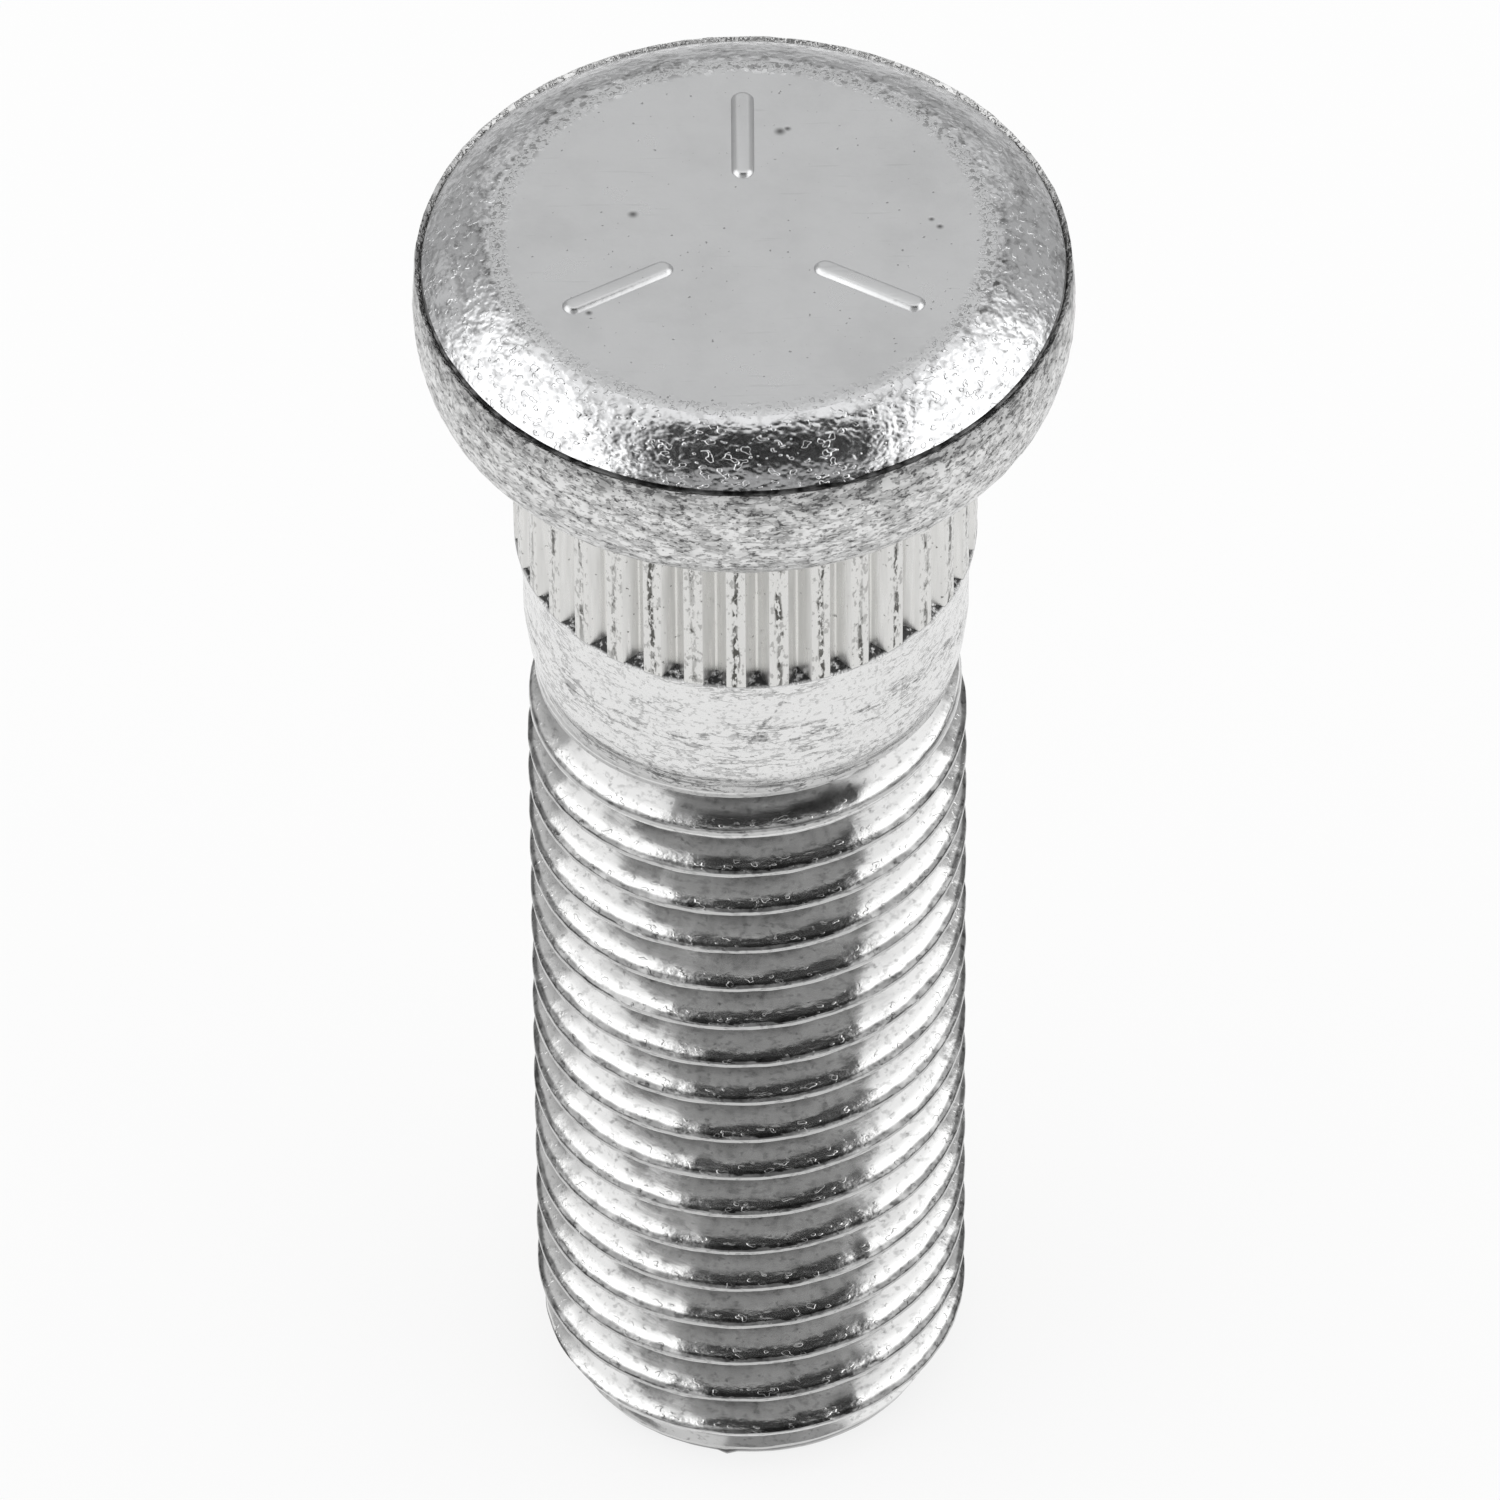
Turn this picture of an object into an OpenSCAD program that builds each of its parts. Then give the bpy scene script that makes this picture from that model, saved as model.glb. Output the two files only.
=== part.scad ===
/* [Head] */
// Diameter of the head at the widest place of its rim
head_d = 17.66; // [16:0.02:20]
// Height of the rim, from the seat up to the sharp edge of the cap
rim_h = 3.95; // [3.2:0.05:5]
// Height of the rim's widest place above the seat
rim_belly_z = 2.85; // [2.3:0.05:3.1]
// Radius of the rim's barrel shape, seen in section
rim_belly_r = 6; // [4.5:0.1:12]
// Radius of the round that leads from the rim in to the seat
rim_foot_r = 1.4; // [1:0.05:1.8]
// Width and depth of the crease between the rim and the cap
crease = 0.12; // [0.06:0.01:0.25]
// Height of the shallow cap above the rim
cap_h = 0.98; // [0.5:0.02:1.6]
// Diameter of the cap at its sharp edge
cap_d = 17.22; // [15:0.02:17.4]
// Diameter of the flat face on top of the cap
flat_d = 13.5; // [9:0.1:14.5]
// Radius of the slightly crowned slope of the cap, seen in section
cap_crown_r = 9; // [5:0.5:30]

/* [Knurl] */
// Diameter over the crests of the knurl
knurl_d = 12.5; // [12.2:0.02:13.2]
// Length of the grooved stretch below the seat
knurl_len = 5.8; // [4:0.1:10]
// Number of grooves round the knurl
groove_count = 34; // [20:1:44]
// Width of a groove at the crests
groove_w = 0.68; // [0.3:0.02:0.8]
// Depth of a groove
groove_depth = 0.4; // [0.2:0.02:0.5]
// How far the grooves run on into the taper below the knurl
groove_past = 0.1; // [0.05:0.01:0.3]
// Height by which the lower end of a groove slants, from its valley out to its crests
groove_slant = 0.3; // [0.1:0.05:1]
// Angle of the first groove about the stud
groove_turn = 8; // [0:0.5:18]
// Height of the taper from the knurl down to the shoulder
lead_len = 1.25; // [0.4:0.05:2]

/* [Shoulder] */
// Diameter of the plain shoulder, which centres the stud in its hole
shoulder_d = 12.04; // [12:0.01:12.15]
// Length of the shoulder at its full diameter
shoulder_len = 1.75; // [0.8:0.05:6]
// Height of the rounded slope from the shoulder in to the neck
slope_h = 1.6; // [0.6:0.05:3]
// Radius of the slightly crowned slope below the shoulder, seen in section
slope_crown_r = 6; // [4:0.5:20]
// Diameter of the neck between the shoulder and the thread
neck_d = 11.44; // [11:0.02:11.9]
// Length of the neck
neck_len = 0.1; // [0.05:0.05:3]

/* [Thread] */
// Diameter over the crests of the thread
thread_d = 11.94; // [11.8:0.01:11.98]
// Rise of the thread in one turn
pitch = 1.5; // [1.25:0.25:1.75]
// Number of turns over which the crests come up from the neck to their full height
run_out = 1.5; // [0.5:0.1:2]
// Share of a turn in which the groove of the thread comes to its full depth
groove_start = 0.22; // [0.1:0.02:0.5]
// Angle of the thread about the stud
thread_turn = 234; // [0:1:360]
// Length of the stud from its seat to its end face
under_head = 37.5; // [30:0.1:60]
// Diameter of the flat end face
end_d = 10.2; // [9:0.1:10.6]
// Height of the taper that leads from the thread to the end face
end_taper = 1.8; // [1:0.1:3]
// Number of flats that stand for one turn of the thread
segments = 36; // [24:2:48]

/* [Hidden] */
$fn = 128;

zinc_plate = "silver";

// Heights from the end face up
seat_z = under_head;
crease_z = seat_z + rim_h;
top_z = crease_z + cap_h;
knurl_end_z = seat_z - knurl_len;
lead_end_z = knurl_end_z - lead_len;
shoulder_end_z = lead_end_z - shoulder_len;
slope_end_z = shoulder_end_z - slope_h;
neck_end_z = slope_end_z - neck_len;

// How far a form reaches into its neighbour, and a cut past its faces
lap = 0.5;

// How far the rim's lower round is set in from the barrel and down past the seat, in radii
foot_in = 0.25;
foot_sunk = 0.05;

// Form of the thread: flanks 30 degrees off the cross section, a narrow crest and a flat root
thread_depth = 0.6134 * pitch;
crest_w = pitch / 8;
flank_run = thread_depth * tan(30);
crest_r = thread_d / 2;
root_r = crest_r - thread_depth;
// The thread starts on a blank that is a hair thinner than the neck above it
hair = 0.02;
blank_r = neck_d / 2 - hair;

// One turn's profile, from crest to crest: height above the middle of the crest, radius, and
// how far the edge moves along its flank for each unit that the crest is low
form = [
    [-crest_w / 2, crest_r, -tan(30)],
    [crest_w / 2, crest_r, tan(30)],
    [crest_w / 2 + flank_run, root_r, 0],
    [pitch - crest_w / 2 - flank_run, root_r, 0]
];

// A crest is never taken lower than this share of the thread's depth
most_cut = 0.8;

// The helix starts and ends a little beyond what is seen of it
helix_start_z = -2 * pitch;
helix_top_z = neck_end_z + pitch / 3;
rows = ceil((helix_top_z - helix_start_z) / pitch * segments);

// Share of a run, measured down from the neck, that a height has covered
function share(z, run) = max(0, min(1, (neck_end_z - z) / run));

// Radius that the crests reach at a height: low below the neck, and low again by the end face
function crest_limit(z) =
    min(
        blank_r + (crest_r - blank_r) * share(z, run_out * pitch),
        end_d / 2 + z * (crest_r - end_d / 2) / end_taper
    );

// Radius of the thread's surface at a height, for a radius of its full form and a groove depth
function thread_r(z, full_r, depth) =
    crest_limit(z) - max(0, crest_limit(z) - full_r) * depth;

// Number of a point of the helical surface; a form's last edge is the first of the turn above
function point(row, edge) =
    edge < len(form) ? row * len(form) + edge : (row + segments) * len(form);

// Middle of the circle of radius r that bulges outward from a low point to a high one
function arc_centre(low, high, r) =
    let (chord = high - low)
    (low + high) / 2 - sqrt(r * r - chord * chord / 4) * [chord[1], -chord[0]] / norm(chord);

// Section of the cap: a flat top whose slope is slightly crowned
module cap_section() {
    low = [cap_d / 2, crease_z];
    high = [flat_d / 2, top_z];
    translate([0, crease_z]) square([flat_d / 2 - lap, cap_h]);
    intersection() {
        translate([0, crease_z]) square([head_d, cap_h]);
        translate(arc_centre(low, high, cap_crown_r)) circle(r = cap_crown_r);
    }
}

// Section of the rim: a barrel with a rounded foot, flat on its seat
module rim_section() {
    // The round stays a little inside the barrel and reaches a little below the seat
    foot = [head_d / 2 - (1 + foot_in) * rim_foot_r, seat_z + (1 - foot_sunk) * rim_foot_r];
    intersection() {
        translate([0, seat_z]) square([head_d, rim_h - crease]);
        translate([head_d / 2 - rim_belly_r, seat_z + rim_belly_z]) circle(r = rim_belly_r);
        union() {
            translate(foot) circle(r = rim_foot_r);
            translate([0, seat_z]) square([foot[0], rim_h]);
            translate([0, foot[1]]) square([head_d, rim_h]);
        }
    }
}

// Forged head, with a fine crease where the cap meets the rim
module head() {
    rotate_extrude() {
        cap_section();
        translate([0, crease_z - lap]) square([cap_d / 2 - crease, 2 * lap]);
        rim_section();
        translate([0, seat_z]) square([flat_d / 4, rim_h]);
    }
}

// One V groove of the knurl, open into the head, with a lower end that slants down and outward
module groove() {
    spread = groove_w / 2 * (groove_depth + lap) / groove_depth;
    slant = groove_slant / groove_depth;
    valley = knurl_d / 2 - groove_depth;
    outside = knurl_d / 2 + lap;
    end_z = knurl_end_z - groove_past;
    intersection() {
        translate([0, 0, end_z - lap]) linear_extrude(height = groove_past + knurl_len + 2 * lap)
            polygon([[valley, 0], [outside, -spread], [outside, spread]]);
        rotate([90, 0, 0]) linear_extrude(height = 4 * spread, center = true) polygon([
            [valley - lap, end_z + slant * (groove_depth + lap)],
            [outside, end_z - slant * lap],
            [outside, seat_z + 2 * lap],
            [valley - lap, seat_z + 2 * lap]
        ]);
    }
}

// Rolled knurl that bites into the hole, and its taper down to the shoulder
module knurl() {
    difference() {
        union() {
            translate([0, 0, knurl_end_z]) cylinder(d = knurl_d, h = knurl_len + lap);
            translate([0, 0, lead_end_z]) cylinder(d1 = shoulder_d, d2 = knurl_d, h = lead_len);
        }
        for (i = [0 : groove_count - 1]) rotate(groove_turn + 360 * i / groove_count) groove();
    }
}

// Plain shoulder with a rounded slope down to the neck
module shoulder() {
    low = [neck_d / 2, slope_end_z];
    high = [shoulder_d / 2, shoulder_end_z];
    rotate_extrude() {
        translate([0, shoulder_end_z + lap / 2]) square([shoulder_d / 2, shoulder_len - lap / 2]);
        intersection() {
            translate([0, slope_end_z]) square([shoulder_d / 2, slope_h + lap]);
            translate(arc_centre(low, high, slope_crown_r)) circle(r = slope_crown_r);
        }
        translate([0, neck_end_z]) square([neck_d / 2, neck_len + slope_h + lap]);
    }
}

// Helical surface of the thread with its core, closed by a cone of faces at each end
module helix() {
    edges = len(form);
    last = rows + segments;
    surface = [
        for (row = [0 : last], edge = form)
            let (
                angle = 360 * row / segments,
                crest_z = helix_start_z + pitch * row / segments,
                low = min(crest_r - crest_limit(crest_z), thread_depth * most_cut),
                z = crest_z + edge[0] + edge[2] * low,
                r = thread_r(z, edge[1], share(crest_z + pitch / 2, groove_start * pitch))
            )
            [r * cos(angle), r * sin(angle), z]
    ];
    bottom = len(surface);
    top = bottom + 1;
    centres = [[0, 0, helix_start_z + pitch / 2], [0, 0, helix_top_z + pitch / 2]];
    flanks = [
        for (row = [0 : rows - 1], edge = [0 : edges - 1])
            each [
                [point(row, edge), point(row, edge + 1), point(row + 1, edge + 1)],
                [point(row, edge), point(row + 1, edge + 1), point(row + 1, edge)]
            ]
    ];
    ends = [
        for (row = [0 : segments - 1])
            each [
                [point(row, 0), point(row + 1, 0), bottom],
                [point(rows + row + 1, 0), point(rows + row, 0), top]
            ],
        for (edge = [0 : edges - 1])
            each [
                [point(0, edge + 1), point(0, edge), bottom],
                [point(rows, edge), point(rows, edge + 1), top]
            ]
    ];
    polyhedron(points = concat(surface, centres), faces = concat(flanks, ends), convexity = 10);
}

// Threaded shank, cut flat at its end
module thread() {
    difference() {
        rotate(thread_turn) helix();
        translate([-thread_d, -thread_d, -thread_d]) cube([2 * thread_d, 2 * thread_d, thread_d]);
    }
}

// The stud is forged and rolled in one piece
module wheel_stud() {
    color(zinc_plate) {
        head();
        knurl();
        shoulder();
        thread();
    }
}

wheel_stud();
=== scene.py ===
import math

import bmesh
import bpy
import numpy as np
from mathutils import Matrix, Vector, noise


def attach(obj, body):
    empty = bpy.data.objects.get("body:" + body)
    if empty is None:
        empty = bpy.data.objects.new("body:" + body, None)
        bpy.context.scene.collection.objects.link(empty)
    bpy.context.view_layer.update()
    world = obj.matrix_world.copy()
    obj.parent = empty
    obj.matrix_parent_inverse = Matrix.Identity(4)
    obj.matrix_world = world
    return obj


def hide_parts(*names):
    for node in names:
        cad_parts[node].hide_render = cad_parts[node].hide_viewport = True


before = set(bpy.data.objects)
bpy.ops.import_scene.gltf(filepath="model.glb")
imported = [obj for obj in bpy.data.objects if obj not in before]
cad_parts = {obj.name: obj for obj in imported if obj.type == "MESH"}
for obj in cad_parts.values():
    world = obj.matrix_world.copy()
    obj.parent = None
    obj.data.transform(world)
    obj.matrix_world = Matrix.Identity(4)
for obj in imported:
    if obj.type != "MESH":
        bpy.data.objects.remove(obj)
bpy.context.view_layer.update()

MM = 0.001


# Camera
# The stud was photographed from half above, from far away with a long lens, and the camera
# leaned a little to one side. All places are in millimetres in the stud's own frame.
camera_place = Vector((0.073, -380.0, 413.5)) * MM
camera_elevation = math.radians(45.79)
camera_lean = math.radians(0.432)
lens_mm = 480.2
sensor_mm = 36.0

looking = Vector((0, math.cos(camera_elevation), -math.sin(camera_elevation)))
level_right = Vector((1, 0, 0))
level_up = level_right.cross(looking)
right = level_right * math.cos(camera_lean) - level_up * math.sin(camera_lean)
up = level_up * math.cos(camera_lean) + level_right * math.sin(camera_lean)
camera = bpy.data.objects.new("camera", bpy.data.cameras.new("camera"))
camera.data.lens = lens_mm
camera.data.sensor_width = sensor_mm
camera.data.clip_start = 0.01
camera.data.clip_end = 20
camera.matrix_world = Matrix.Translation(camera_place) @ Matrix((right, up, -looking)).transposed().to_4x4()
bpy.context.collection.objects.link(camera)
bpy.context.scene.camera = camera
bpy.context.scene.view_settings.view_transform = "Standard"


class Wire:
    """A value in a node tree. Arithmetic on it adds Math nodes, so a mask reads as a formula."""

    def __init__(self, tree, socket):
        self.tree, self.socket = tree, socket

    def math(self, operation, first, second=0.0, clamp=False):
        settings = {"operation": operation, "use_clamp": clamp}
        return self.tree.node("ShaderNodeMath", settings, {0: first, 1: second})

    def __add__(self, other):
        return self.math("ADD", self, other)

    def __sub__(self, other):
        return self.math("SUBTRACT", self, other)

    def __rsub__(self, other):
        return self.math("SUBTRACT", other, self)

    def __mul__(self, other):
        return self.math("MULTIPLY", self, other)

    def __truediv__(self, other):
        return self.math("DIVIDE", self, other)

    def __abs__(self):
        return self.math("ABSOLUTE", self)

    def clamped(self):
        return self.math("ADD", self, 0.0, clamp=True)

    def fraction(self):
        return self.math("FRACT", self)

    def most(self, other):
        return self.math("MAXIMUM", self, other)

    def step(self, low, high):
        """0 below low, 1 above high and smooth in between; low may be the larger."""
        settings = {"interpolation_type": "SMOOTHSTEP", "clamp": True}
        return self.tree.node("ShaderNodeMapRange", settings, {0: self, 1: low, 2: high, 3: 0.0, 4: 1.0})

    __radd__ = __add__
    __rmul__ = __mul__


class Tree:
    """The nodes of one material, or of the world. Every node but a Math node comes from node()."""

    def __init__(self, owner):
        owner.use_nodes = True
        self.nodes, self.links = owner.node_tree.nodes, owner.node_tree.links
        self.nodes.clear()

    def node(self, kind, settings=None, inputs=None, output=0):
        made = self.nodes.new(kind)
        for name, value in (settings or {}).items():
            setattr(made, name, value)
        for name, value in (inputs or {}).items():
            if isinstance(value, Wire):
                self.links.new(value.socket, made.inputs[name])
            else:
                made.inputs[name].default_value = value
        return Wire(self, made.outputs[output]) if len(made.outputs) else made


# Studio
# A pale floor under a white surround, with a long soft box on either side. A dark card overhead
# and grey ones around are seen in the bright metal only, and neither light nor shade anything.
# Lengths are in metres here.
floor_half = 3.0
floor_tone = 0.97
floor_glow = 0.8
surround_light = 0.80
# Where the soft boxes hang: to either side, forward and up, and how far from the stud
box_side, box_forward, box_up = 0.70, -0.08, 0.71
box_reach = 0.72
box_long, box_high = 0.76, 0.54
box_watts = 0.75
# Cards over the stud: how light they are, their height and their corners from above
overhead_z = 0.60
level_cards = {
    "overhead_card": (
        0.026, overhead_z, [(-0.115, 0.04), (0.175, 0.04), (0.30, -0.08), (0.35, -0.31), (-0.29, -0.31)],
    ),
    "overhead_left_card": (
        0.40, overhead_z, [(-0.18, 0.02), (-0.115, 0.04), (-0.29, -0.31), (-0.37, -0.31)],
    ),
    "overhead_right_card": (
        0.40, overhead_z, [(0.175, 0.04), (0.25, 0.02), (0.44, -0.31), (0.35, -0.31), (0.30, -0.08)],
    ),
    "overhead_front_card": (
        0.42, overhead_z, [(-0.33, -0.31), (0.40, -0.31), (0.50, -0.39), (0.46, -0.8), (-0.36, -0.8)],
    ),
    "rear_floor_card": (0.62, 0.004, [(-0.6, 0.1), (0.6, 0.1), (0.6, 0.9), (-0.6, 0.9)]),
}
# Standing cards: how light they are, their foot line from above, and their heights
standing_cards = {
    "front_card": (0.42, (-0.28, -0.80), (0.28, -0.80), 0.09, 0.60),
    "back_card": (0.68, (-0.45, 0.9), (0.45, 0.9), 0.24, 1.35),
    "back_foot_card": (0.40, (-0.45, 0.9), (0.45, 0.9), 0.0, 0.24),
    "back_left_card": (0.42, (-1.5, 0.9), (-0.45, 0.9), 0.0, 1.2),
    "back_right_card": (0.44, (0.45, 0.9), (1.5, 0.9), 0.0, 1.2),
    "left_card": (0.34, (-0.85, -0.7), (-0.85, 0.9), 0.0, 0.3),
    "left_rear_card": (0.60, (-0.85, 0.28), (-0.85, 0.9), 0.3, 0.72),
    "right_card": (0.38, (0.85, -0.7), (0.85, 0.9), 0.0, 0.3),
}
cards = {
    name: (tone, [(x, y, height) for x, y in corners])
    for name, (tone, height, corners) in level_cards.items()
}
for name, (tone, start, end, foot, top) in standing_cards.items():
    cards[name] = (tone, [(*start, foot), (*end, foot), (*end, top), (*start, top)])


def grey(value):
    return (value, value, value, 1)


def seen_rays(tree):
    """1 for what the camera sees, straight or in metal or glass, and 0 for light on a surface."""
    path = tree.node("ShaderNodeLightPath").socket.node.outputs
    camera_ray, glossy_ray, through_ray = [
        Wire(tree, path[name]) for name in ("Is Camera Ray", "Is Glossy Ray", "Is Transmission Ray")
    ]
    return (camera_ray + glossy_ray + through_ray).clamped()


def sheet(name, corners):
    """A flat stage piece from its corners, with an empty material tree."""
    mesh = bpy.data.meshes.new(name)
    mesh.from_pydata(corners, [], [tuple(range(len(corners)))])
    made = bpy.data.objects.new(name, mesh)
    bpy.context.collection.objects.link(made)
    material = bpy.data.materials.new(name)
    mesh.materials.append(material)
    return made, Tree(material)


for name, (tone, corners) in cards.items():
    card, tree = sheet(name, corners)
    card.visible_camera = card.visible_diffuse = card.visible_shadow = False
    glow = tree.node("ShaderNodeEmission", {}, {"Color": grey(tone), "Strength": 1.0})
    tree.node("ShaderNodeOutputMaterial", {}, {"Surface": glow})

near, far = -floor_half, floor_half
floor, tree = sheet("floor", [(near, near, 0), (far, near, 0), (far, far, 0), (near, far, 0)])
paper = tree.node("ShaderNodeBsdfPrincipled", {}, {"Base Color": grey(floor_tone), "Roughness": 0.9})
white = tree.node("ShaderNodeEmission", {}, {"Color": grey(1.0), "Strength": 1.0})
both = tree.node("ShaderNodeMixShader", {}, {0: seen_rays(tree) * floor_glow, 1: paper, 2: white})
tree.node("ShaderNodeOutputMaterial", {}, {"Surface": both})

for side in (-1, 1):
    lamp = bpy.data.lights.new("soft_box", "AREA")
    lamp.shape = "RECTANGLE"
    lamp.size, lamp.size_y = box_long, box_high
    lamp.energy = box_watts
    box = bpy.data.objects.new("soft_box", lamp)
    toward = Vector((side * box_side, box_forward, box_up)).normalized()
    box.location = toward * box_reach
    box.rotation_mode = "QUATERNION"
    box.rotation_quaternion = toward.to_track_quat("Z", "Y")
    box.visible_camera = False
    bpy.context.collection.objects.link(box)

world = bpy.data.worlds.new("surround")
bpy.context.scene.world = world
tree = Tree(world)
strength = seen_rays(tree) * (1 - surround_light) + surround_light
light = tree.node("ShaderNodeBackground", {}, {"Color": grey(1.0), "Strength": strength})
tree.node("ShaderNodeOutputWorld", {}, {"Surface": light})


# Skin of the stud
# The stud is forged from one bar, so its whole surface is one mesh: columns run down its side
# from the head to the end face, and each form below adds its rows of points to them, in mm.
groove_count = 34
groove_turn = 8.0
# Places of the columns from the valley of one groove to the next, and at 0.5 the crest
column_steps = (0.0, 0.15, 0.275, 0.315, 0.5, 0.685, 0.725, 0.85)
column_angles = np.array([
    math.radians(groove_turn + 360 * (groove + step) / groove_count)
    for groove in range(groove_count)
    for step in column_steps
])
columns = len(column_angles)
skin_rows = []
skin_forms = []
# Whole turns added to a count of turns before its fraction is taken, so that it is above 0
whole_turns = 100


def roughened(x, y, z, size, depth):
    """A smooth random height in mm at each point, for lumps of a given size."""
    points = np.stack(np.broadcast_arrays(x, y, z), -1).reshape(-1, 3) / size
    heights = np.array([noise.noise(Vector(point)) for point in points])
    return depth * heights.reshape(np.broadcast(x, y, z).shape)


def swell(bearing, width):
    """1 in the column at a bearing, falling to 0 on either side of it, both in degrees."""
    away = (np.degrees(column_angles) - bearing + 180) % 360 - 180
    return np.exp(-(away / width) ** 2)


def add_row(radius, height, form, lump=0.0, lump_size=0.6):
    """Adds one row: a radius and a height for each column, and the form that the row is on."""
    radius = np.broadcast_to(np.asarray(radius, float), (columns,)).copy()
    height = np.broadcast_to(np.asarray(height, float), (columns,)).copy()
    if lump:
        x, y = radius * np.cos(column_angles), radius * np.sin(column_angles)
        radius += roughened(x, y, height, lump_size, lump)
    skin_rows.append((radius, height))
    skin_forms.append(form)


def soft_least(first, second, softness):
    """The smaller of two values, with a round of the given size where they meet."""
    gap = np.clip(0.5 + 0.5 * (second - first) / softness, 0, 1)
    return second * (1 - gap) + first * gap - softness * gap * (1 - gap)


class Plate(Tree):
    """Bright zinc plate on steel. Each form of the stud adds its own marks before it is finished."""

    def __init__(self, name):
        self.material = bpy.data.materials.new(name)
        super().__init__(self.material)
        self.place = self.node("ShaderNodeTexCoord", {}, {}, "Object")
        split = self.node("ShaderNodeSeparateXYZ", {}, {0: self.place})
        self.x, self.y, self.z = [Wire(self, split.socket.node.outputs[axis]) / MM for axis in "XYZ"]
        across = self.x * self.x + self.y * self.y
        self.radius = across.math("SQRT", across)
        self.angle = self.y.math("ARCTAN2", self.y, self.x)

    def grain(self, size_mm, detail=2.0, seed=0.0, squeeze=(1, 1, 1), rough=0.5):
        """Noise from 0 to 1 whose lumps are about size_mm across, squeezed along an axis if asked."""
        scaled = self.node(
            "ShaderNodeVectorMath",
            {"operation": "MULTIPLY_ADD"},
            {
                0: self.place,
                1: tuple(1 / (size_mm * MM * along) for along in squeeze),
                2: (seed, seed * 0.7, seed * 1.3),
            },
        )
        inputs = {"Vector": scaled, "Scale": 1.0, "Detail": detail, "Roughness": rough}
        return self.node("ShaderNodeTexNoise", {"noise_dimensions": "3D"}, inputs)

    def near(self, x, y, z, radius):
        """1 at a place on the stud, falling to 0 at a radius round it, in mm."""
        gap = self.node(
            "ShaderNodeVectorMath",
            {"operation": "DISTANCE"},
            {0: self.place, 1: (x * MM, y * MM, z * MM)},
            "Value",
        )
        return gap.step(radius * MM, 0.0)

    def finish(self, light, dark, darkness, roughness, bump, bump_mm):
        """Mixes the two tones by darkness and sets the shader; bump is a height from 0 to 1."""
        tone = self.node(
            "ShaderNodeMix",
            {"data_type": "RGBA"},
            {"Factor": darkness.clamped(), 6: light, 7: dark},
            2,
        )
        normal = self.node("ShaderNodeBump", {}, {"Strength": 1.0, "Distance": bump_mm * MM, "Height": bump})
        shader = self.node(
            "ShaderNodeBsdfPrincipled",
            {},
            {"Base Color": tone, "Metallic": 1.0, "Roughness": roughness.clamped(), "Normal": normal},
        )
        self.node("ShaderNodeOutputMaterial", {}, {"Surface": shader})
        return self.material


# Head
# Forged flat on top, with a shallow crowned slope to a sharp edge, a fine crease and a barrel
# shaped rim. The top is satin, the slope crystalline, and the rim pitted and streaked by the die.
# The crease, and the rim just under it, are darkened with painted shade.
seat_z = 37.5
crease_z = 41.45
top_z = 42.43
cap_r = 8.55
flat_r = 6.75
flat_round = 0.13
cap_crown_r = 9.0
# How much fuller the cap's slope is, and from which radius and how fast it gets steeper
cap_full = 0.05
steep_from, steep_rate = 7.8, 0.15
# Depth of the fine lumps on the cap and on the rim, and their size
cap_lump, rim_lump = 0.014, 0.03
head_lump_size = 0.45
# Height above the seat and radius, from the crease down to the seat
rim = (
    (3.93, 8.74), (3.65, 8.775), (3.15, 8.81), (2.65, 8.83), (2.15, 8.80), (1.65, 8.73),
    (1.15, 8.585), (0.95, 8.50), (0.75, 8.39), (0.45, 8.14), (0.20, 7.89), (0.06, 7.72), (0.0, 7.5),
)

cap_run, cap_drop = cap_r - flat_r, top_z - crease_z
cap_slope = math.hypot(cap_run, cap_drop)
cap_sink = math.sqrt(cap_crown_r**2 - (cap_slope / 2) ** 2)
crown_r = (cap_r + flat_r) / 2 - cap_sink * cap_drop / cap_slope
crown_z = (top_z + crease_z) / 2 - cap_sink * cap_run / cap_slope


def cap_height(radius):
    """Height of the cap's slope, a little fuller in its middle and steeper toward its edge."""
    slope = crown_z + math.sqrt(cap_crown_r**2 - (radius - crown_r) ** 2)
    fuller = cap_full * np.clip(radius - flat_r, 0, 1) - steep_rate * max(radius - steep_from, 0) ** 2
    return soft_least(top_z, slope + fuller, flat_round)


for radius in (0.6, 1.6, 2.6, 3.6, 4.5, 5.3, 5.8, 6.1):
    add_row(radius, top_z, "top")
for radius in np.concatenate([(6.3, 6.45), np.linspace(6.55, 6.95, 9), np.linspace(7.1, cap_r - 0.03, 11)]):
    form = "cap" if radius > flat_r else "top"
    add_row(radius, cap_height(radius), form, cap_lump, head_lump_size)
# A small nick stands out of the cap's edge, and the crease goes in under it and out to the rim
nick = swell(-71.8, 1.7)
add_row(cap_r + 0.09 * nick, crease_z - 0.03 - 0.04 * nick, "cap", cap_lump)
add_row(cap_r - 0.01 + 0.08 * nick, crease_z - 0.07, "crease", cap_lump)
add_row(cap_r - 0.05, crease_z - 0.14, "crease")
add_row(cap_r + 0.03, crease_z - 0.16, "crease")
add_row(rim[0][1] - 0.03, crease_z - 0.06, "rim", cap_lump)
rim_up, rim_out = np.array(rim[::-1]).T
for above_seat in np.concatenate([np.linspace(3.9, 1.3, 13), np.linspace(1.15, 0.0, 9)]):
    radius = np.interp(above_seat, rim_up, rim_out)
    add_row(radius, seat_z + above_seat, "rim", rim_lump if above_seat > 0.1 else 0.0, head_lump_size)
add_row(7.1, seat_z, "rim")
add_row(6.6, seat_z, "rim")

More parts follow.
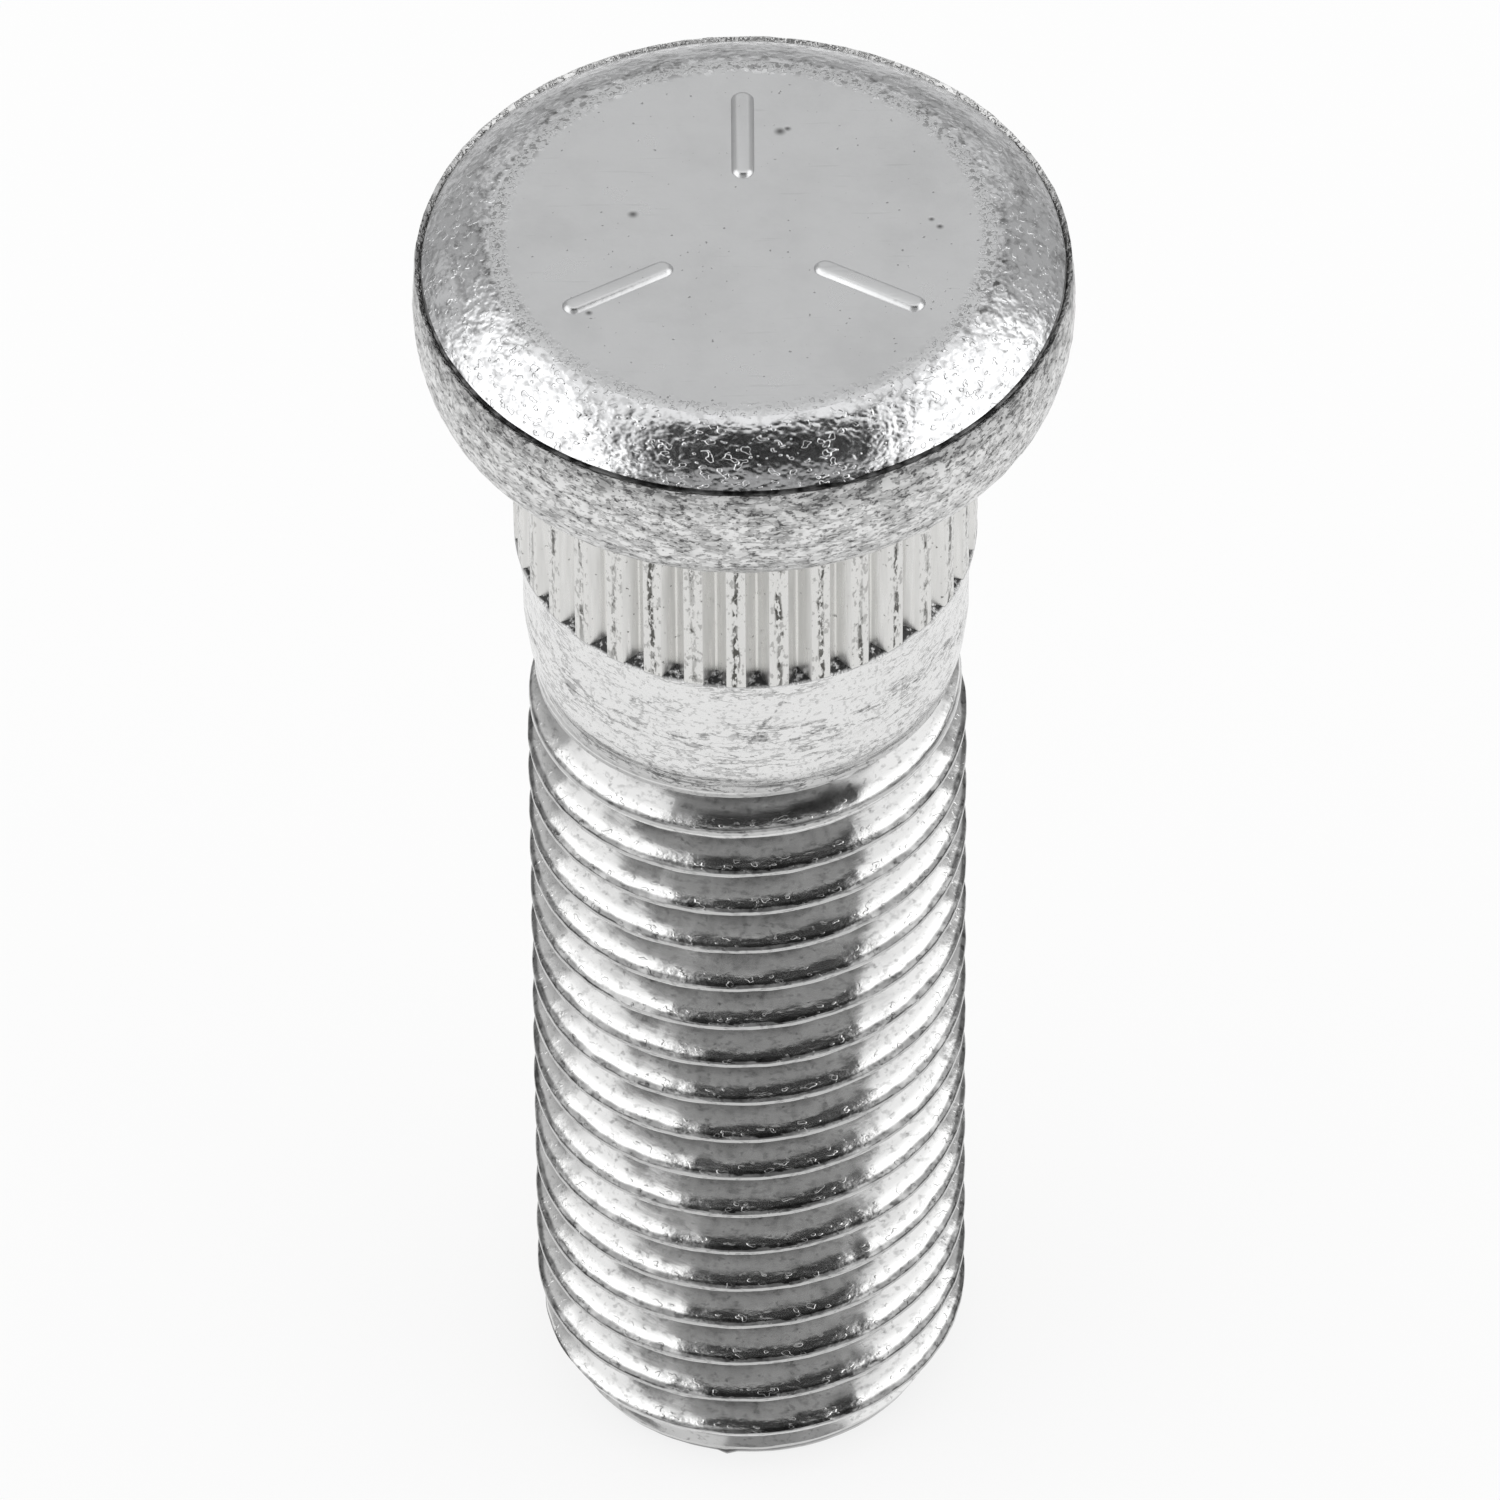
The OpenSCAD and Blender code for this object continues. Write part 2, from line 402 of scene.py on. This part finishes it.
top_plate = Plate("satin_top")
clouds = top_plate.grain(2.2, 4.0, 8.0, rough=0.6)
flecks = top_plate.grain(0.13, 1.0, 3.0).step(0.74, 0.80)
edge_zone = abs(top_plate.radius - 6.62).step(0.42, 0.08)
edge_grain = top_plate.grain(0.20, 2.0, 27.0, rough=0.6)
edge_bits = edge_grain.step(0.54, 0.62) * edge_zone * (top_plate.y.step(-5.0, -3.0) * 0.6 + 0.15)
edge_glints = edge_grain.step(0.44, 0.40) * edge_zone
scratches = top_plate.grain(0.12, 2.0, 21.0, squeeze=(14, 1.5, 1)).step(0.64, 0.76)
top_marks = flecks * 0.6 + edge_bits * 0.8 + scratches * 0.10
# Place and size of the few dents
dents = (
    (1.0, 4.0, 0.22), (1.2, 4.1, 0.14), (-2.93, 0.87, 0.2),
    (5.22, 0.32, 0.14), (5.0, 0.6, 0.12), (-4.1, -2.85, 0.14),
)
for x, y, size in dents:
    top_marks = top_marks.most(top_plate.near(x, y, top_z, size))
satin = top_plate.finish(
    (0.71, 0.715, 0.72, 1),
    grey(0.14),
    top_marks * 0.9 + clouds.step(0.35, 0.75) * 0.12,
    0.24 + clouds * 0.10,
    top_plate.grain(0.18, 1.0, 5.0) * 0.14 + clouds * 0.5 - top_marks * 0.8 + edge_glints * 1.6 + 0.5,
    0.020,
)

cap_plate = Plate("crystalline_cap")
crystals = cap_plate.grain(0.17, 1.0, 11.0, squeeze=(1.5, 1.5, 0.8))
seams = abs(cap_plate.grain(0.42, 3.0, 23.0, squeeze=(1.6, 1.6, 0.8), rough=0.6) - 0.5).step(0.04, 0.01)
patches = cap_plate.grain(0.9, 2.0, 37.0)
glints = cap_plate.grain(0.15, 1.0, 17.0, squeeze=(1.8, 1.8, 0.8)).step(0.60, 0.66)
foot_ring = abs(cap_plate.radius - 6.92).step(0.26, 0.05) * cap_plate.y.step(-5.0, -3.0)
foot_bits = foot_ring * cap_plate.grain(0.25, 3.0, 71.0, rough=0.6).step(0.46, 0.60)
cap_marks = seams * patches.step(0.45, 0.60) * 0.26 + crystals.step(0.48, 0.68) * 0.26 + foot_bits * 0.45
crystalline = cap_plate.finish(
    (0.87, 0.875, 0.885, 1),
    grey(0.16),
    cap_marks + patches.step(0.4, 0.7) * 0.12 + 0.11,
    0.14 + crystals * 0.08,
    crystals * 0.8 + patches * 0.8 + glints * 0.40,
    0.028,
)

rim_plate = Plate("pitted_rim")
lumps = rim_plate.grain(0.45, 2.0, 2.0, squeeze=(1.6, 1.6, 0.8))
rim_seams = abs(rim_plate.grain(0.5, 3.0, 7.0, squeeze=(1.5, 1.5, 0.8), rough=0.65) - 0.5).step(0.06, 0.01)
rim_pits = rim_plate.grain(0.14, 2.0, 13.0, squeeze=(1.4, 1.4, 0.9), rough=0.6).step(0.53, 0.67)
# Painted shade: the rim is darker just under the crease, where the cap's edge shades it, at the front and
# sides but not at the back.
shade_under_crease = rim_plate.z.step(crease_z - 1.1, crease_z - 0.05) * rim_plate.y.step(5.0, 1.0)
far_lip = rim_plate.z.step(crease_z - 0.4, crease_z - 0.2) * rim_plate.y.step(-2.0, 2.0)
rim_marks = (rim_pits * 0.52 + rim_seams * 0.28 + lumps.step(0.42, 0.68) * 0.32) * (1 - far_lip * 0.8)
pitted = rim_plate.finish(
    (0.90, 0.90, 0.895, 1),
    grey(0.12),
    rim_marks + shade_under_crease * 0.30 + far_lip * 0.2 + 0.12,
    0.26 + lumps * 0.12,
    lumps * 1.1 - rim_pits * 0.35 - rim_seams * 0.25 + 0.5,
    0.07,
)

# The crease's colour is painted shade: it is kept dark for the shade in the groove, in mottled patches,
# darkest at the front and lighter toward the back.
crease_plate = Plate("crease")
shade = crease_plate.grain(0.5, 3.0, 4.0)
painted_crease_shade = shade.step(0.35, 0.60) * crease_plate.y.step(4.0, -5.0)
shaded_crease = crease_plate.finish(grey(0.36), grey(0.05), painted_crease_shade, 0.45 + shade * 0.1, shade, 0.03)


# Knurl
# Rolled into the shank under the head, in V grooves whose lower ends slant out and down. It bites
# into the hub when the stud is pressed home. The steel folds over a little along the crests.
knurl_r = 6.25
knurl_foot_r = knurl_r - 0.02
knurl_end_z = 31.65
groove_half = 0.34
groove_depth = 0.40
groove_round = 0.02
lead_end_z = 30.45
end_slant = 0.26
shoulder_r = 6.02

groove_angles = np.array([
    math.radians(360 * (step if step <= 0.5 else step - 1) / groove_count)
    for groove in range(groove_count)
    for step in column_steps
])
steepness = groove_depth / groove_half
valley = (knurl_r - groove_depth) / (np.cos(groove_angles) - steepness * np.abs(np.sin(groove_angles)))


def grooved(surface):
    """The radius of each column where the grooves cut a round surface."""
    return soft_least(surface, valley, groove_round)


def lead_radius(height):
    """The radius of the slightly crowned taper from the knurl down to the shoulder."""
    share = np.clip((height - lead_end_z) / (knurl_end_z - lead_end_z), 0, 1)
    return shoulder_r + (knurl_foot_r - shoulder_r) * share**0.8


add_row(grooved(knurl_r + 0.10), seat_z - 0.03, "knurl")
add_row(grooved(knurl_r), seat_z - 0.12, "knurl")
for height in np.linspace(seat_z - 0.5, knurl_end_z + 0.45, 12):
    add_row(grooved(knurl_r), height, "knurl", 0.012)
# The groove's lower end slants out and down from its valley to the crests
sunk = np.clip((knurl_foot_r - grooved(knurl_foot_r)) / groove_depth, 0, 1)
add_row(grooved(knurl_foot_r), knurl_end_z + 0.02 + sunk * end_slant, "knurl")
add_row(knurl_r - 0.01, knurl_end_z - 0.02, "groove_end")
add_row(knurl_foot_r, knurl_end_z - 0.10, "shoulder")

knurl_plate = Plate("rolled_knurl")
# The phase runs from 0 in one valley to 1 in the next, with the crest at 0.5
grooves_round = knurl_plate.angle * (groove_count / (2 * math.pi))
phase = (grooves_round + (whole_turns - groove_turn * groove_count / 360)).fraction()
wander = knurl_plate.grain(0.5, 3.0, 51.0, squeeze=(1, 1, 3)) * 0.24 - 0.12
seam = abs(phase - 0.5 + wander).step(0.09, 0.03)
seam_grain = knurl_plate.grain(0.12, 2.0, 6.0, squeeze=(1, 1, 2.4), rough=0.6)
strong = knurl_plate.grain(1.1, 2.0, 71.0, squeeze=(1, 1, 2.5)).step(0.40, 0.62) * 0.7 + 0.3
folds = seam_grain.step(0.44, 0.54) * seam * strong
on_flank = abs(phase - 0.5).step(0.20, 0.24)
# Painted highlight: a thin lighter line down the valley of each knurl groove.
valley_highlight = abs(phase - 0.5).step(0.462, 0.485)
knurl_flecks = knurl_plate.grain(0.14, 2.0, 31.0).step(0.70, 0.76)
crest_pits = knurl_plate.grain(0.15, 2.0, 45.0, squeeze=(1, 1, 1.8), rough=0.6).step(0.54, 0.64)
drawn = knurl_plate.grain(0.13, 2.0, 14.0, squeeze=(1, 1, 14))
crest_tone = (1 - on_flank) * (crest_pits * 0.34 + 0.19)
knurled = knurl_plate.finish(
    (0.875, 0.872, 0.855, 1),
    (0.10, 0.098, 0.09, 1),
    folds * 0.85 + knurl_flecks * 0.55 + crest_tone + on_flank * (drawn * 0.26 + 0.09) - valley_highlight * 0.3,
    0.22 + drawn * 0.12,
    drawn * 0.15 - folds * 0.6 - knurl_flecks * 0.4 + 0.6,
    0.04,
)

# Painted shade: the slanted end of each groove is mottled dark, for the shade in the groove's end, and its
# foot is left lighter as a lip.
groove_end_plate = Plate("groove_end")
end_mottle = groove_end_plate.grain(0.16, 3.0, 9.0, rough=0.6)
groove_end_shade = end_mottle.step(0.30, 0.50) * groove_end_plate.z.step(knurl_end_z - 0.01, knurl_end_z + 0.05)
groove_end = groove_end_plate.finish(grey(0.66), grey(0.05), groove_end_shade, 0.30 + end_mottle * 0.1, end_mottle, 0.05)


# Shoulder and neck
# Turned smooth below the knurl to centre the stud in its hole, then drawn in to the blank that
# the thread is rolled on. The plate has fine pits, a few smudges and one slanting scratch, and
# the slope into the neck is darkened with painted reflection.
shoulder_end_z = 28.70
neck_end_z = 27.00
neck_r = 5.73
# Where the middle of the slanting scratch lies, and its slant
scratch_x, scratch_z, scratch_slant = 0.61, 30.3, 0.60
# Height and radius down the slope from the shoulder to the neck
slope = (
    (28.85, 6.015), (28.62, 5.995), (28.38, 5.960), (28.15, 5.935), (27.9, 5.905), (27.72, 5.870),
    (27.55, 5.815), (27.4, 5.750), (27.28, 5.718), (27.18, 5.712), (27.08, 5.72),
)

for height in np.linspace(knurl_end_z - 0.25, lead_end_z, 6):
    add_row(lead_radius(height), height, "shoulder", 0.006)
for height in np.linspace(lead_end_z - 0.3, shoulder_end_z + 0.4, 4):
    add_row(shoulder_r, height, "shoulder", 0.006)
for height, radius in slope:
    add_row(radius, height, "shoulder", 0.008)

shoulder_plate = Plate("turned_shoulder")
shoulder_pits = shoulder_plate.grain(0.15, 2.0, 9.0, rough=0.6).step(0.55, 0.64)
hair_marks = shoulder_plate.grain(0.11, 2.0, 63.0, squeeze=(5, 5, 1)).step(0.60, 0.72)
smudges = shoulder_plate.grain(0.5, 4.0, 12.0, squeeze=(1.3, 1.3, 0.4), rough=0.65).step(0.54, 0.62)
smudge_band = abs(shoulder_plate.z - 29.45).step(0.65, 0.25)
# Painted reflection: dark wavy lines low on the slope to the neck stand for fine grooves there that reflect
# the dark.
low_lines = shoulder_plate.grain(0.35, 3.0, 5.0, squeeze=(6, 6, 0.4), rough=0.6).step(0.50, 0.62)
low_band = abs(shoulder_plate.z - 27.45).step(0.45, 0.15)
bend = shoulder_plate.grain(0.4, 2.0, 33.0) * 0.5 - 0.25
above = shoulder_plate.z - scratch_z
scratch_line = abs(shoulder_plate.x - scratch_x - above * scratch_slant + bend).step(0.11, 0.02)
scratch_reach = abs(above).step(0.95, 0.80) * shoulder_plate.y.step(0.0, -1.0)
scratch = scratch_line * scratch_reach * shoulder_plate.grain(0.2, 3.0, 41.0).step(0.35, 0.55)
scribble_grain = shoulder_plate.grain(0.5, 3.0, 26.0, squeeze=(1.8, 1.8, 0.6), rough=0.6)
scribbles = abs(scribble_grain - 0.5).step(0.04, 0.01)
scribbled = shoulder_plate.grain(1.3, 2.0, 55.0, squeeze=(1.5, 1.5, 0.6)).step(0.44, 0.56)
marks = shoulder_pits * 0.26 + hair_marks * 0.12 + smudges * smudge_band * 0.50 + scratch * 0.6
marks = marks + scribbles * scribbled * 0.38 + low_lines * low_band * 0.45
# Painted reflection: the slope into the neck is made darker toward the neck, for the dark it reflects there.
turned = shoulder_plate.finish(
    (0.83, 0.83, 0.825, 1),
    grey(0.14),
    marks + shoulder_plate.z.step(28.15, 27.25) * 0.34 + 0.05,
    0.24 + smudges * 0.10,
    shoulder_plate.grain(0.25, 1.0, 15.0) * 0.4 - marks * 0.7 + 0.5,
    0.024,
)


# Thread and end
# An M12 x 1.5 right-hand thread, rolled into the shank. Its groove comes to its full depth within
# a quarter turn, its crests over one and a half turns, and they are low again at the end's taper.
pitch = 1.5
# Height of one crest at the front of the stud
crest_front_z = 25.65
# How far the groove is wound up past the first crest, and over what it fades out, in degrees
groove_top = 420.0
groove_fade = 80.0
# Height and radius that the crests reach below the neck, and down the taper to the end face
crest_rise = (
    (0.0, 5.05), (0.12, 5.14), (1.8, 5.97), (24.7, 5.97), (25.05, 5.93), (25.55, 5.90),
    (25.8, 5.85), (26.05, 5.81), (26.25, 5.78), (26.45, 5.75), (neck_end_z, neck_r), (27.6, neck_r),
)
# One turn of the profile from crest to crest: height above the crest's middle, and radius
profile = (
    (-0.055, 5.972), (0.055, 5.972), (0.094, 5.945), (0.128, 5.89), (0.22, 5.745), (0.36, 5.505),
    (0.55, 5.180), (0.66, 5.065), (0.84, 5.065), (0.95, 5.180), (1.14, 5.505), (1.28, 5.745),
    (1.372, 5.89), (1.406, 5.945),
)

# Each column meets the helix at its own height; rows beyond an end gather on that end's edge
lip_z = 0.05
turns = math.ceil(neck_end_z / pitch) + 4
column_rise = pitch * (np.degrees(column_angles) - groove_turn) / 360
first_crest = crest_front_z + pitch * (groove_turn + 90) / 360
lowest_crest = first_crest - pitch * math.ceil((first_crest + 2 * pitch) / pitch)
profile_rise, profile_r = np.array(profile).T
crest_z, crest_r = np.array(crest_rise).T


def thread_radius(height):
    """The thread's radius where each column passes a height."""
    along = height - first_crest - column_rise
    form = np.interp(along, profile_rise, profile_r, period=pitch)
    wound = np.degrees(column_angles) + 360 * np.ceil(along / pitch)
    depth = np.clip((groove_top - wound) / groove_fade, 0, 1)
    limit = np.interp(height, crest_z, crest_r)
    return limit - depth * np.maximum(limit - form, 0)


helix_rows = []
# A small burr is left on the edge of the end face
burr = 0.12 * swell(-98, 2.0)
for turn in range(turns):
    for rise in profile_rise:
        height = np.clip(lowest_crest + turn * pitch + rise + column_rise, lip_z, neck_end_z)
        radius = thread_radius(height)
        x, y = radius * np.cos(column_angles), radius * np.sin(column_angles)
        radius = radius + roughened(x, y, height, 0.5, 0.014) + burr * np.clip(1.4 - 4 * height, 0, 1)
        free = np.clip(np.minimum(height - lip_z, neck_end_z - height) / 0.5, 0, 1)
        helix_rows.append((radius, height + free * roughened(x, y, height + 40, 0.8, 0.030)))

thread_plate = Plate("rolled_thread")
# The lead runs from 0 at the middle of one crest to 1 at the middle of the crest above it
wound = thread_plate.z / pitch - thread_plate.angle / (2 * math.pi)
lead = (wound + (whole_turns - first_crest / pitch + groove_turn / 360)).fraction()
# Painted shade: the flanks are darker toward the root, for the shade deep in the groove; the fine bump and
# glints are kept off there too.
shaded_root = thread_plate.radius.step(5.80, 5.50)
on_crest = abs(lead - 0.5).step(0.450, 0.475)
# Painted shade: the flank on the underside of each crest is darker, for the shade beneath the crest.
shade_under_crest = abs(lead - 0.77).step(0.19, 0.14)
edge_wander = thread_plate.grain(0.5, 3.0, 58.0) * 0.03 - 0.015
edge_strength = thread_plate.grain(0.6, 3.0, 83.0).step(0.30, 0.60) * 0.26 + 0.48
# Painted shade: a thin dark line along the edge of each crest, for the shade and dark reflection seen there;
# it fades out toward the neck.
crest_edge_shade = abs(lead - 0.072 + edge_wander).step(0.052, 0.020) * thread_plate.z.step(27.2, 26.8)
bruises = thread_plate.grain(0.15, 2.0, 10.0, squeeze=(1.6, 1.6, 0.8), rough=0.6).step(0.60, 0.72)
frost = thread_plate.grain(0.11, 2.0, 24.0, squeeze=(2.4, 2.4, 0.9))
thread_glints = thread_plate.grain(0.14, 1.0, 29.0, squeeze=(2.0, 2.0, 0.8)).step(0.62, 0.68) * (1 - shaded_root)
rolled_lines = thread_plate.grain(0.12, 2.0, 19.0, squeeze=(9, 9, 1))
thread_marks = crest_edge_shade * edge_strength + bruises * 0.22 + frost.step(0.5, 0.75) * 0.22
rolled = thread_plate.finish(
    (0.87, 0.87, 0.865, 1),
    grey(0.10),
    thread_marks + shaded_root * 0.34 + shade_under_crest * 0.38 + on_crest * 0.32 + 0.10,
    0.14 + rolled_lines * 0.06,
    frost * (1 - shaded_root) * 0.50 + thread_glints * 0.32 + rolled_lines * 0.15 + 0.1,
    0.020,
)


# One skin over the whole stud
# The rows of the forms are joined from the head down, the thread's rows with the step of one
# turn where its last column meets its first, and both flat faces are closed at their middle.
end_radii = (4.98, 4.0, 2.6, 1.2)
merge_reach = 0.001 * MM
sharp_angle = math.radians(26)
form_plates = {
    "top": satin,
    "cap": crystalline,
    "crease": shaded_crease,
    "rim": pitted,
    "knurl": knurled,
    "groove_end": groove_end,
    "shoulder": turned,
    "thread": rolled,
    "end": rolled,
}

helix_rows.reverse()
radii, heights = np.array(skin_rows + helix_rows).swapaxes(0, 1)
first_helix_row, first_end_row = len(skin_rows), len(radii)
points = np.stack([radii * np.cos(column_angles), radii * np.sin(column_angles), heights], -1).reshape(-1, 3)
ends = [
    (ring_r * math.cos(angle), ring_r * math.sin(angle), 0.0)
    for ring_r in end_radii
    for angle in column_angles
]
points = np.concatenate([points, ends, [(0, 0, top_z), (0, 0, 0)]])
top_point, end_point = len(points) - 2, len(points) - 1
forms = skin_forms + ["thread"] * len(helix_rows) + ["end"] * len(end_radii)
last_row = len(forms) - 1
form_numbers = {form: number for number, form in enumerate(form_plates)}
faces, face_forms = [], []


def point(row, column):
    """The number of a point; past the last column the thread's rows go on one turn higher up."""
    if column == columns:
        column = 0
        if first_helix_row <= row < first_end_row:
            row = max(row - len(profile), first_helix_row)
    return row * columns + column


for row in range(last_row):
    for column in range(columns):
        corners = ((row, column), (row + 1, column), (row + 1, column + 1), (row, column + 1))
        faces.append(tuple(point(*corner) for corner in corners))
        face_forms.append(form_numbers[forms[row + 1]])
for column in range(columns):
    faces.append((top_point, point(0, column), point(0, column + 1)))
    face_forms.append(form_numbers["top"])
    faces.append((end_point, point(last_row, column + 1), point(last_row, column)))
    face_forms.append(form_numbers["end"])

skin = bpy.data.meshes.new("wheel_stud_skin")
skin.from_pydata([tuple(place * MM) for place in points], [], faces)
for plate in form_plates.values():
    skin.materials.append(plate)
skin.polygons.foreach_set("material_index", face_forms)
# Rows that gather on an end of the thread are merged there
trimmed = bmesh.new()
trimmed.from_mesh(skin)
bmesh.ops.remove_doubles(trimmed, verts=trimmed.verts, dist=merge_reach)
trimmed.to_mesh(skin)
skin.shade_smooth()
skin.set_sharp_from_angle(angle=sharp_angle)
stud = bpy.data.objects.new("wheel_stud_skin", skin)
bpy.context.collection.objects.link(stud)
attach(stud, "root")
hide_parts("wheel_stud")


# Head mark
# Forged heads carry a low raised mark in the middle of their flat top. Three plain strokes stand
# there, as the strength marks of bolts do, with soft edges from the die and the same plate.
stroke_bearings = (90, 210, 330)
stroke_half = 0.24
stroke_from, stroke_to = 2.5, 5.2
stroke_height = 0.11
# Outset and height of the rings of points that make up a stroke, from its foot up
stroke_rings = ((0.10, -0.04), (0.05, 0.02), (0.0, 0.07), (-0.05, 0.10), (-0.11, stroke_height))
# Points on the round at either end of a stroke
stroke_arc = 12

stroke_points, stroke_faces = [], []
for bearing in np.radians(stroke_bearings):
    along = np.array((math.cos(bearing), math.sin(bearing)))
    across = np.array((-along[1], along[0]))
    first = len(stroke_points)
    for outset, height in stroke_rings:
        for end, start in ((stroke_to, -90), (stroke_from, 90)):
            for turn in np.radians(np.linspace(start, start + 180, stroke_arc)):
                reach = stroke_half + outset
                place = along * (end + reach * math.cos(turn)) + across * reach * math.sin(turn)
                stroke_points.append((*place, top_z + height))
    ring = 2 * stroke_arc
    for row in range(len(stroke_rings) - 1):
        for step in range(ring):
            low, ahead = first + row * ring, (step + 1) % ring
            stroke_faces.append((low + step, low + ahead, low + ring + ahead, low + ring + step))
    stroke_faces.append(tuple(first + step for step in reversed(range(ring))))
    stroke_faces.append(tuple(first + (len(stroke_rings) - 1) * ring + step for step in range(ring)))

marks_mesh = bpy.data.meshes.new("head_mark")
marks_mesh.from_pydata([tuple(MM * value for value in place) for place in stroke_points], [], stroke_faces)
marks_mesh.materials.append(satin)
marks_mesh.shade_smooth()
head_mark = bpy.data.objects.new("head_mark", marks_mesh)
bpy.context.collection.objects.link(head_mark)
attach(head_mark, "root")
